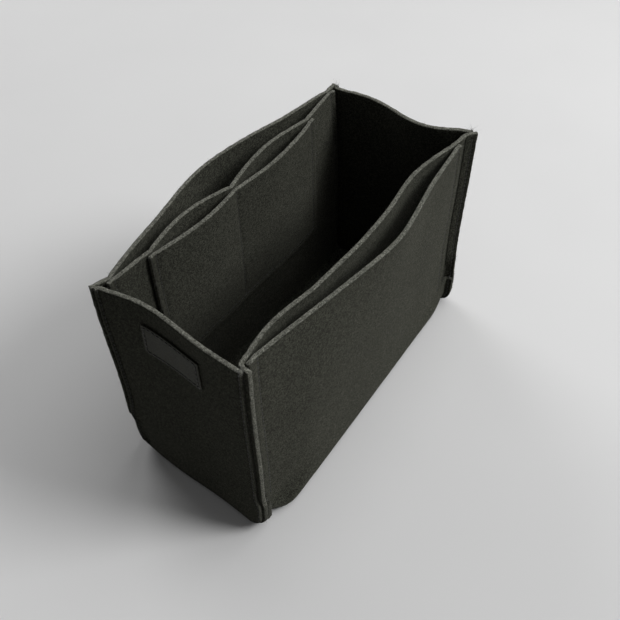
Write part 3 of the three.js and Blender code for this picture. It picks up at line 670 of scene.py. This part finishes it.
class Nodes:
    """A material's node tree, with short calls for the nodes used here."""

    def __init__(self, name):
        self.material = bpy.data.materials.new(name)
        self.material.use_nodes = True
        self.tree = self.material.node_tree
        self.shader = self.tree.nodes["Principled BSDF"]
        self.place = self.tree.nodes.new("ShaderNodeTexCoord").outputs["Object"]

    def link(self, source, target):
        self.tree.links.new(source, target)

    def noise(self, per_metre, detail=3, roughness=0.6, distortion=0):
        node = self.tree.nodes.new("ShaderNodeTexNoise")
        node.inputs["Scale"].default_value = per_metre
        node.inputs["Detail"].default_value = detail
        node.inputs["Roughness"].default_value = roughness
        node.inputs["Distortion"].default_value = distortion
        self.link(self.place, node.inputs["Vector"])
        return node.outputs["Fac"]

    def ramp(self, source, *stops):
        node = self.tree.nodes.new("ShaderNodeValToRGB")
        ramp = node.color_ramp
        while len(ramp.elements) < len(stops):
            ramp.elements.new(0.5)
        for element, (at, colour) in zip(ramp.elements, stops):
            element.position = at
            element.color = (*colour, 1) if hasattr(colour, "__len__") else (colour, colour, colour, 1)
        self.link(source, node.inputs["Fac"])
        return node.outputs["Color"]

    def mix(self, share, first, second, blend="MIX"):
        node = self.tree.nodes.new("ShaderNodeMix")
        node.data_type = "RGBA"
        node.blend_type = blend
        self.attach(node.inputs["Factor"], share)
        self.attach(node.inputs[MIX_FIRST], first)
        self.attach(node.inputs[MIX_SECOND], second)
        return node.outputs[MIX_RESULT]

    def attach(self, socket, value):
        """Links a node's output, or sets a colour or a number."""
        if hasattr(value, "is_linked"):
            self.link(value, socket)
        elif hasattr(value, "__len__"):
            socket.default_value = (*value, 1)
        else:
            socket.default_value = value

    def math(self, operation, first, second):
        node = self.tree.nodes.new("ShaderNodeMath")
        node.operation = operation
        self.attach(node.inputs[0], first)
        self.attach(node.inputs[1], second)
        return node.outputs[0]

    def attribute(self, name):
        node = self.tree.nodes.new("ShaderNodeAttribute")
        node.attribute_name = name
        return node.outputs["Fac"]

    def bump(self, height, strength, distance):
        node = self.tree.nodes.new("ShaderNodeBump")
        node.inputs["Strength"].default_value = strength
        node.inputs["Distance"].default_value = distance
        self.link(height, node.inputs["Height"])
        self.link(node.outputs["Normal"], self.shader.inputs["Normal"])

    def feed(self, name, source):
        self.link(source, self.shader.inputs[name])

    def set(self, **values):
        """Sets the shader's own sockets, by their names with underscores."""
        for name, value in values.items():
            self.attach(self.shader.inputs[name.replace("_", " ")], value)
        return self.material


def felt_material():
    """Graphite heather felt: mottled short fibres, paler and coarser on cut edges, with painted shade on cut
    edges in a seam.
    """
    nodes = Nodes("graphite_felt")
    heather = nodes.noise(per_metre=880, detail=2, roughness=0.6, distortion=1.4)
    fibre = nodes.noise(per_metre=1600, detail=3, roughness=0.65, distortion=2.6)
    tone = nodes.noise(per_metre=16, detail=2)
    body = nodes.ramp(heather, *FELT_TONES)
    strands = nodes.ramp(fibre, *STRAND_TONES)
    face = nodes.mix(nodes.math("MULTIPLY", strands, STRAND_SHARE), body, STRAND_COLOUR)
    toned = nodes.mix(1, face, nodes.ramp(tone, (0.3, 0.86), (0.7, 1.1)), "MULTIPLY")
    grain = nodes.noise(per_metre=1100, detail=3, roughness=0.65, distortion=1.2)
    edge = nodes.ramp(grain, *EDGE_TONES)
    # The cut attribute blends in the pale edge colour, at less strength on seam edges, which paints shade on
    # them.
    nodes.feed("Base Color", nodes.mix(nodes.attribute("cut"), toned, edge))
    nodes.feed("Roughness", nodes.ramp(heather, (0.3, 0.98), (0.7, 0.86)))
    nap = nodes.math("ADD", nodes.math("MULTIPLY", fibre, NAP_SHARE), heather)
    nodes.bump(nap, strength=0.55, distance=0.0007)
    return nodes.set(
        Sheen_Weight=0.08,
        Sheen_Roughness=0.6,
        Sheen_Tint=WARM_TINT,
        Specular_IOR_Level=0.1,
        Specular_Tint=WARM_TINT,
    )


def fibre_material():
    nodes = Nodes("loose_fibre")
    tone = nodes.noise(per_metre=900, detail=2)
    nodes.feed("Base Color", nodes.ramp(tone, (0.3, 0.06), (0.7, 0.27)))
    nodes.feed("Roughness", nodes.ramp(tone, (0.3, 0.9), (0.7, 0.75)))
    return nodes.set(Sheen_Weight=0.1)


def thread_material():
    """Dark spun thread."""
    nodes = Nodes("spun_thread")
    ply = nodes.noise(per_metre=2600, detail=2, distortion=0.8)
    nodes.feed("Base Color", nodes.ramp(ply, *THREAD_TONES))
    nodes.feed("Roughness", nodes.ramp(ply, (0.3, 0.7), (0.7, 0.5)))
    nodes.bump(ply, strength=0.5, distance=0.0002)
    return nodes.set(Sheen_Weight=0.15)


def leather_material():
    """Thin dark leather with a fine grain."""
    nodes = Nodes("label_leather")
    grain = nodes.tree.nodes.new("ShaderNodeTexVoronoi")
    grain.feature = "SMOOTH_F1"
    grain.inputs["Scale"].default_value = LEATHER_GRAIN
    nodes.link(nodes.place, grain.inputs["Vector"])
    cells = grain.outputs["Distance"]
    tone = nodes.noise(per_metre=140, detail=3)
    nodes.feed("Base Color", nodes.ramp(tone, *LEATHER_TONES))
    nodes.feed("Roughness", nodes.ramp(cells, (0.0, 0.5), (0.6, 0.66)))
    nodes.bump(cells, strength=0.35, distance=0.0003)
    return nodes.set(Specular_IOR_Level=0.3, Specular_Tint=WARM_TINT)


def floor_material():
    """A pale floor to look at, which throws little light on the object."""
    nodes = Nodes("pale_floor")
    tone = nodes.noise(per_metre=3, detail=3)
    rays = nodes.tree.nodes.new("ShaderNodeLightPath").outputs
    seen = nodes.math("ADD", rays["Is Camera Ray"], rays["Is Glossy Ray"])
    seen = nodes.math("ADD", seen, rays["Is Transmission Ray"])
    nodes.feed("Base Color", nodes.mix(seen, FLOOR_BOUNCE, nodes.ramp(tone, *FLOOR_TONES)))
    nodes.feed("Roughness", nodes.ramp(tone, (0.3, 0.75), (0.7, 0.8)))
    return nodes.set(Specular_IOR_Level=0.2)


FELT_LOOK = felt_material()
FIBRE_LOOK = fibre_material()
THREAD_LOOK = thread_material()
LEATHER_LOOK = leather_material()

# Pieces
FORWARD = (0, -1, 0)
BACKWARD = (0, 1, 0)


def ride(piece, node):
    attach(piece, "root")
    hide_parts(node)
    return piece


def sew(seam, needle, bobbin):
    """The two threads of a seam."""
    for kind, (path, normals) in (("needle", needle), ("bobbin", bobbin)):
        node = f"{seam}_{kind}_thread"
        ride(stitches(f"{seam}_{kind}_stitches", path, normals, THREAD_LOOK), node)


def felt_piece(name, node, sheet, tufts=()):
    """A panel and the loose fibres along its cut edges."""
    piece = ride(sheet.build(name, FELT_LOOK), node)
    fuzz = fibres(f"{name}_fibres", sheet, FIBRE_LOOK, tufts)
    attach(fuzz, "root")
    return piece, fuzz


PATCH_UPRIGHTS = (PATCH_SEAM_LEFT, PATCH_CENTRE, PATCH_SEAM_RIGHT)
FRONT_SEAMS = (-POCKET_SEAMS[-1], POCKET_SEAMS[1])
INNER_COLUMNS = wrap_columns(*FRONT_SEAMS, *PATCH_UPRIGHTS)
OUTER_COLUMNS = wrap_columns(*FRONT_SEAMS)


def outer_margin():
    """Cells of the outer wrap beyond the front pocket's side edges."""
    x = column_x(OUTER_COLUMNS)
    return (x[:-1] < -POCKET_EDGES[-1] - SAME_LINE / 2) | (x[1:] > POCKET_EDGES[1] + SAME_LINE / 2)


def inner_margin():
    fin = INNER_COLUMNS[:, 3]
    return np.maximum(fin[:-1], fin[1:]) > 0


def side_seam_x(wall, end):
    """Where a slip pocket is sewn: on the front or back wall, at the left or right end."""
    return end * (POCKET_SEAMS[end] if wall < 0 else BACK_SEAM)


SIDE_SEAMS = [(wall, side_seam_x(wall, end), STEP_HEIGHT) for wall in (-1, 1) for end in (-1, 1)]
PATCH_SEAMS = [(1, x, PATCH_SEAM_HEIGHT) for x in PATCH_UPRIGHTS]


def outer_sheet():
    """Threads draw in its outside; the inner wrap and the ends lie against its inside."""
    stitched, together = fin_seam(OUTER_COLUMNS)
    sides = wall_seam(OUTER_COLUMNS, SIDE_SEAMS)
    above = TOUCH * np.maximum(together, sides)
    below = -DIMPLE * np.maximum(stitched, sides)
    cells = wrap_cells(OUTER_COLUMNS, -1, outer_margin())
    return Sheet(wrap_points(1, OUTER_COLUMNS), cells, FELT, above, below, wrap_edge_tones_and_shade(OUTER_COLUMNS))


def inner_sheet():
    """The ends and the patch lie against its inside, the outer wrap against its outside."""
    stitched, together = fin_seam(INNER_COLUMNS)
    sides = wall_seam(INNER_COLUMNS, SIDE_SEAMS)
    pocket = wall_seam(INNER_COLUMNS, PATCH_SEAMS)
    bare = np.where(UPPER_FRONT, stitched, 0)
    covered = np.where(UPPER_FRONT, 0, together)
    above = TOUCH * np.maximum(together, pocket) - DIMPLE * sides
    below = TOUCH * np.maximum(covered, sides) - DIMPLE * np.maximum(bare, pocket)
    cells = wrap_cells(INNER_COLUMNS, 1, inner_margin())
    return Sheet(wrap_points(0, INNER_COLUMNS), cells, FELT, above, below, wrap_edge_tones_and_shade(INNER_COLUMNS))


outer = outer_sheet()
inner = inner_sheet()


# End panels: a flat middle, and a rim that runs round its U

def end_point(side, y, z, out=0):
    """Points of an end panel's flat middle, or at a distance outside it."""
    up = BASE_LIFT * (HEIGHT - z) / (HEIGHT - BASE_TOP)
    along = END_PLANE + end_bow(side, y, z) + corner_reach(side, y, z) + out
    return np.stack(np.broadcast_arrays(side * along, y, z + up), axis=-1)


def end_rims(side):
    """An end panel's fold and fin at each row, with the two shares that fin_seam gives for a wrap."""
    turn, length, stitch, edge, tuck, centre = fin_shape(ROWS, side)
    reach = END_REACH - tuck
    bend = reach + OUTER_FOLD
    start = centre + (bend * np.sin(turn) - bend) / np.cos(turn)
    angle = (np.pi / 2 - turn) * np.linspace(0, 1, FOLD_PARTS + 1)
    arc_along = FOLD_START + tuck + bend - OUTER_FOLD * np.cos(angle)
    arc_out = start + OUTER_FOLD * np.sin(angle)
    start_share = np.maximum(0, (centre - start) / length)
    steps = np.linspace(0, 1, FIN_PARTS + 1)[None, 1:]
    to_stitch = lerp(np.minimum(start_share, stitch), stitch, steps)
    share = np.concatenate([to_stitch, lerp(stitch, edge, steps)], axis=1)
    fin_along = FOLD_START + tuck + reach * np.sin(turn) + share * length * np.cos(turn)
    fin_out = centre - reach * np.cos(turn) + share * length * np.sin(turn)
    along = np.concatenate([arc_along, fin_along], axis=1)
    out = np.concatenate([arc_out, fin_out], axis=1)
    stitched = np.concatenate([0 * arc_out, dips((share - stitch) * length)], axis=1)
    together = np.concatenate([0 * arc_out, np.ones_like(fin_out)], axis=1)
    return place(side, along, ROWS, out), stitched, together


def end_sheet(side):
    """An end panel, and the points under its seam. Its middle is a grid, joined to the rims row by row."""
    core = end_point(side, BASE_LINES[None, :], HEIGHTS[:, None])
    width = len(BASE_LINES)
    rims, stitched, together = end_rims(side)
    last = len(HEIGHTS) - 1
    first = core.shape[0] * width
    corner = FOLD_PARTS - 1
    left = [i * width for i in range(last + 1)] + [last * width] * corner
    right = [i * width + width - 1 for i in range(last + 1)] + [last * width + width - 1] * corner
    core_index = np.array(left + [last * width + j for j in range(width)] + right[::-1])
    rim_index = first + np.arange(rims.shape[0] * rims.shape[1]).reshape(rims.shape[:2])
    rows = np.concatenate([core_index[:, None], rim_index], axis=1)
    ring = np.stack([rows[:-1, :-1], rows[:-1, 1:], rows[1:, 1:], rows[1:, :-1]], axis=-1).reshape(-1, 4)
    cells = np.concatenate([grid_cells(len(HEIGHTS), width)[:, ::-1], ring])
    points = np.concatenate([core.reshape(-1, 3), rims.reshape(-1, 3)])
    outside = np.concatenate([np.zeros(first), -DIMPLE * stitched.ravel()])
    inside = np.concatenate([np.zeros(first), TOUCH * together.ravel()])
    faces = (outside, inside) if side > 0 else (inside, outside)
    level = np.concatenate([np.repeat(HEIGHTS, width), np.repeat(ROWS[:, 1], rims.shape[1])])
    stitch_line = rim_index[:, FOLD_PARTS + FIN_PARTS]
    # Below the rim its cut edges are darkened as painted shade.
    return Sheet(points, cells, FELT, *faces, np.where(level == HEIGHT, 1, SEAM_EDGE_SHADE)), stitch_line


ends = {side: end_sheet(side) for side in (-1, 1)}

# Double pocket
PATCH_COLUMNS = lines(
    [PATCH_LEFT, PATCH_RIGHT, *PATCH_UPRIGHTS],
    *[at + np.array(SEAM_LINES) for at in PATCH_UPRIGHTS],
    evenly(PATCH_LEFT, PATCH_RIGHT, GRID),
)
PATCH_ROWS = lines(
    [PATCH_BOTTOM, PATCH_SEAM_HEIGHT, PATCH_TOP],
    PATCH_SEAM_HEIGHT + np.array(SEAM_LINES),
    evenly(PATCH_BOTTOM, PATCH_TOP, GRID),
)[::-1]


def patch_sheet():
    x, z = PATCH_COLUMNS[None, :], PATCH_ROWS[:, None]
    bow = -LAYER - back_sag(x, z) - PATCH_BELLY * pocket_swell(x, z)
    rows = np.array([(HALF_DEPTH, height, 1, 0) for height in PATCH_ROWS])
    points = place(np.where(x < 0, -1, 1), np.abs(x), rows, FELT / 2, bow)
    upright = np.max([dips(x - at) for at in PATCH_UPRIGHTS], axis=0)
    stitched = np.where(z >= PATCH_SEAM_HEIGHT, upright, 0)
    across = (x >= PATCH_SEAM_LEFT) & (x <= PATCH_SEAM_RIGHT)
    stitched = np.maximum(stitched, np.where(across, dips(z - PATCH_SEAM_HEIGHT), 0))
    cells = grid_cells(len(PATCH_ROWS), len(PATCH_COLUMNS))
    return Sheet(points, cells, FELT, TOUCH * stitched, -DIMPLE * stitched)


patch = patch_sheet()


def nearest(values, target):
    return int(np.argmin(np.abs(np.asarray(values) - target)))


def wall_line(columns, x, side, bottom):
    """Grid points of a wrap on one wall, at a distance along X, in the order of its rows."""
    on_wall = columns[:, 2] == 0
    column = nearest(np.where(on_wall, column_x(columns), np.inf), x)
    rows = np.flatnonzero((ROWS[:, 2] == side) & (ROWS[:, 1] >= bottom))
    return rows * len(columns) + column


def end_seams():
    """Needle threads on the end panels, bobbin threads on the outermost wrap."""
    for name, side in (("left", -1), ("right", 1)):
        sheet, stitch_line = ends[side]
        looks = np.column_stack([np.full(len(ROWS), side), -ROWS[:, 2], -ROWS[:, 3]])
        needle = sheet.face(stitch_line, looks)
        column = FIN_PARTS if side < 0 else -1 - FIN_PARTS
        rows = np.arange(len(ROWS))
        inner_at = rows * len(INNER_COLUMNS) + np.arange(len(INNER_COLUMNS))[column]
        outer_at = rows * len(OUTER_COLUMNS) + np.arange(len(OUTER_COLUMNS))[column]
        from_inner = inner.face(inner_at, -looks)
        from_outer = outer.face(outer_at, -looks)
        bobbin = [np.where(UPPER_FRONT, a, b) for a, b in zip(from_inner, from_outer)]
        sew(f"{name}_end_seam", needle, bobbin)


def side_seams():
    for name, end in (("left", -1), ("right", 1)):
        for wall, side in (("front", -1), ("back", 1)):
            x = side_seam_x(side, end)
            outside = outer.face(wall_line(OUTER_COLUMNS, x, side, STEP_HEIGHT), (0, side, 0))
            inside = inner.face(wall_line(INNER_COLUMNS, x, side, STEP_HEIGHT), (0, -side, 0))
            pair = (outside, inside) if side < 0 else (inside, outside)
            sew(f"{wall}_pocket_{name}_seam", *pair)


def patch_line(x):
    """Grid points of the patch at a distance along X, from its rim down to the bottom seam."""
    rows = np.flatnonzero(PATCH_ROWS >= PATCH_SEAM_HEIGHT)
    return rows * len(PATCH_COLUMNS) + nearest(PATCH_COLUMNS, x)


def patch_seams():
    width = len(PATCH_COLUMNS)
    row = nearest(PATCH_ROWS, PATCH_SEAM_HEIGHT) * width
    start, end = (nearest(PATCH_COLUMNS, x) for x in (PATCH_SEAM_LEFT, PATCH_SEAM_RIGHT))
    bottom = row + np.arange(start + 1, end)
    outline = np.concatenate([patch_line(PATCH_SEAM_LEFT), bottom, patch_line(PATCH_SEAM_RIGHT)[::-1]])
    left = wall_line(INNER_COLUMNS, PATCH_SEAM_LEFT, 1, PATCH_SEAM_HEIGHT)[::-1]
    right = wall_line(INNER_COLUMNS, PATCH_SEAM_RIGHT, 1, PATCH_SEAM_HEIGHT)
    centre = wall_line(INNER_COLUMNS, PATCH_CENTRE, 1, PATCH_SEAM_HEIGHT)
    below = np.arange(left[-1] + 1, right[0])
    behind = np.concatenate([left, below, right])
    sew("patch_outline_seam", patch.face(outline, FORWARD), inner.face(behind, BACKWARD))
    sew("patch_centre_seam", patch.face(patch_line(PATCH_CENTRE), FORWARD), inner.face(centre, BACKWARD))


# Label
LABEL_TOP = HEIGHT - LABEL_DROP + LABEL_HEIGHT / 2
LABEL_BOTTOM = LABEL_TOP - LABEL_HEIGHT
LABEL_NEAR = LABEL_CENTRE_Y - LABEL_WIDTH / 2
LABEL_FAR = LABEL_CENTRE_Y + LABEL_WIDTH / 2
LABEL_GRID = 1.0
LABEL_DIMPLE = 0.18
LABEL_LIFT = FELT / 2 + LAYER_GAP + LABEL_THICKNESS / 2


def label_loop():
    """Points once round the label, inside its edge."""
    near, far = LABEL_NEAR + LABEL_STITCH, LABEL_FAR - LABEL_STITCH
    low, high = LABEL_BOTTOM + LABEL_STITCH, LABEL_TOP - LABEL_STITCH
    across, up = evenly(near, far, LABEL_GRID), evenly(low, high, LABEL_GRID)
    y = np.concatenate([across, np.full(len(up), far), across[::-1], np.full(len(up), near)])
    z = np.concatenate([np.full(len(across), high), up[::-1], np.full(len(across), low), up])
    return y, z


def label_pieces():
    y, z = evenly(LABEL_NEAR, LABEL_FAR, LABEL_GRID), evenly(LABEL_TOP, LABEL_BOTTOM, LABEL_GRID)
    points = end_point(-1, y[None, :], z[:, None], LABEL_LIFT)
    loop_y, loop_z = label_loop()
    from_sides = np.minimum(y - LABEL_NEAR, LABEL_FAR - y)[None, :]
    from_ends = np.minimum(z - LABEL_BOTTOM, LABEL_TOP - z)[:, None]
    dents = -LABEL_DIMPLE * dips(np.minimum(from_sides, from_ends) - LABEL_STITCH)
    sheet = Sheet(points, grid_cells(len(z), len(y)), LABEL_THICKNESS, dents, dents)
    piece = ride(sheet.build("blank_label_leather", LEATHER_LOOK), "blank_label")
    outward = np.tile((-1.0, 0, 0), (len(loop_y), 1))
    outer_face = wobble(end_point(-1, loop_y, loop_z, LABEL_LIFT + LABEL_THICKNESS / 2))
    inner_face = wobble(end_point(-1, loop_y, loop_z, -FELT / 2))
    sew("label_seam", (outer_face, outward), (inner_face, -outward))
    return piece


# Rim corners with long loose fibres
FRONT_RIGHT_TUFT = (124, -60, HEIGHT)
BACK_RIGHT_TUFT = (125, 58, HEIGHT)
FRONT_LEFT_TUFT = (-125, -57, HEIGHT)

outer_felt, outer_fibres = felt_piece("outer_wrap_felt", "outer_wrap", outer)
inner_felt, inner_fibres = felt_piece("inner_wrap_felt", "inner_wrap", inner)
left_felt, left_fibres = felt_piece("left_end_felt", "left_end_panel", ends[-1][0], [FRONT_LEFT_TUFT])
right_felt, right_fibres = felt_piece(
    "right_end_felt", "right_end_panel", ends[1][0], [FRONT_RIGHT_TUFT, BACK_RIGHT_TUFT]
)
patch_felt, patch_fibres = felt_piece("inside_pocket_felt", "inside_pocket_patch", patch)
label_piece = label_pieces()
end_seams()
side_seams()
patch_seams()

# Cut sizes of the sheets
WALL_RUN = HEIGHT - CORNER_HEIGHT
U_LENGTH = 2 * (WALL_RUN + CORE_EDGE) + math.pi * (BASE_CORNER + FELT)
CORNER_RUN = 6  # a corner's mean reach along X
WRAP_WIDTH = 2 * (FOLD_START + CORNER_RUN + OUTER_FOLD + FRONT_FIN)
MARGIN = WRAP_WIDTH / 2 - (POCKET_EDGES[-1] + POCKET_EDGES[1]) / 2 - CORNER_RUN
END_WIDTH = 2 * (HALF_DEPTH + FRONT_FIN + CORNER_RUN)
END_HEIGHT = HEIGHT - BASE_TOP + FOLD_HEIGHT


def cut(piece, width, length, held, rests_on, extras=(), missing=0):
    """Takes a piece and the rectangle it is cut from, less what its notches take away; it does nothing with
    them, and none of its arguments are used.
    """


NOTCH = 2 * MARGIN * (HEIGHT - STEP_HEIGHT)
cut(outer_felt, WRAP_WIDTH, U_LENGTH, "folded", ["inner_wrap_felt"], [outer_fibres], NOTCH)
cut(inner_felt, WRAP_WIDTH, U_LENGTH, "folded", ["outer_wrap_felt"], [inner_fibres], NOTCH)
cut(left_felt, END_WIDTH, END_HEIGHT, "stretched", ["inner_wrap_felt"], [left_fibres])
cut(right_felt, END_WIDTH, END_HEIGHT, "stretched", ["inner_wrap_felt"], [right_fibres])
PATCH_WIDTH, PATCH_HEIGHT = PATCH_RIGHT - PATCH_LEFT, PATCH_TOP - PATCH_BOTTOM
cut(patch_felt, PATCH_WIDTH, PATCH_HEIGHT, "hung", ["inner_wrap_felt"], [patch_fibres])
cut(label_piece, LABEL_WIDTH, LABEL_HEIGHT, "laid", ["left_end_felt"])

# Stage, light and camera, in metres; the camera is fitted to the photograph
FLOOR_SIZE = 3.6
CAMERA_PLACE = (-0.314, -0.236, 0.492)
CAMERA_YAW = math.radians(53.7)
CAMERA_PITCH = math.radians(47.4)
CAMERA_ROLL = math.radians(-1.66)
CAMERA_LENS = 47.09
CAMERA_NEAR = 0.01
SENSOR = 36
WORLD_GREY = 0.5
WORLD_STRENGTH = 0.24
BACKDROP_GREY = 0.55
LOOK_AT = (0, 0, 0.08)
LAMPS = {  # place, size and power of each
    "key": ((1.0, -1.75, 1.75), 1.1, 45),
    "top": ((0.9, -0.35, 2.1), 2.0, 18),
    "back": ((0.95, 2.0, 1.2), 1.5, 22),
}


def make_floor():
    half = FLOOR_SIZE / 2
    mesh = bpy.data.meshes.new("floor")
    corners = [(-half, -half, 0), (half, -half, 0), (half, half, 0), (-half, half, 0)]
    mesh.from_pydata(corners, [], [(0, 1, 2, 3)])
    mesh.materials.append(floor_material())
    floor = bpy.data.objects.new("floor", mesh)
    bpy.context.scene.collection.objects.link(floor)


def aimed(place, target):
    """A matrix at a place that looks at a target along its own -Z."""
    back = unit(np.array(place, float) - np.array(target, float))
    right = unit(np.cross((0, 0, 1), back))
    return basis(right, np.cross(back, right), back, place)


def basis(right, up, back, place):
    columns = np.column_stack([right, up, back, place])
    return Matrix([*columns.tolist(), [0, 0, 0, 1]])


def area_light(name, place, size, power):
    lamp = bpy.data.lights.new(name, "AREA")
    lamp.shape = "DISK"
    lamp.size = size
    lamp.energy = power
    light = bpy.data.objects.new(name, lamp)
    light.matrix_world = aimed(place, LOOK_AT)
    light.visible_camera = False
    bpy.context.scene.collection.objects.link(light)


def make_camera():
    ahead = np.array([
        math.sin(CAMERA_YAW) * math.cos(CAMERA_PITCH),
        math.cos(CAMERA_YAW) * math.cos(CAMERA_PITCH),
        -math.sin(CAMERA_PITCH),
    ])
    level = np.array([math.cos(CAMERA_YAW), -math.sin(CAMERA_YAW), 0])
    over = np.cross(level, ahead)
    right = level * math.cos(CAMERA_ROLL) + over * math.sin(CAMERA_ROLL)
    up = over * math.cos(CAMERA_ROLL) - level * math.sin(CAMERA_ROLL)
    data = bpy.data.cameras.new("camera")
    data.lens = CAMERA_LENS
    data.sensor_width = SENSOR
    data.clip_start = CAMERA_NEAR
    camera = bpy.data.objects.new("camera", data)
    camera.matrix_world = basis(right, up, -ahead, CAMERA_PLACE)
    bpy.context.scene.collection.objects.link(camera)
    bpy.context.scene.camera = camera


def make_world():
    """Weak even light, in front of a pale backdrop that only the camera sees."""
    world = bpy.data.worlds.new("studio")
    world.use_nodes = True
    tree = world.node_tree
    light = tree.nodes["Background"]
    backdrop = tree.nodes.new("ShaderNodeBackground")
    for node, grey, strength in ((light, WORLD_GREY, WORLD_STRENGTH), (backdrop, BACKDROP_GREY, 1)):
        node.inputs["Color"].default_value = (grey, grey, grey, 1)
        node.inputs["Strength"].default_value = strength
    rays = tree.nodes.new("ShaderNodeLightPath")
    choice = tree.nodes.new("ShaderNodeMixShader")
    tree.links.new(rays.outputs["Is Camera Ray"], choice.inputs[0])
    tree.links.new(light.outputs[0], choice.inputs[1])
    tree.links.new(backdrop.outputs[0], choice.inputs[2])
    tree.links.new(choice.outputs[0], tree.nodes["World Output"].inputs["Surface"])
    bpy.context.scene.world = world


make_floor()
make_world()
for lamp_name, lamp_values in LAMPS.items():
    area_light(lamp_name, *lamp_values)
make_camera()
bpy.context.scene.view_settings.view_transform = "Standard"
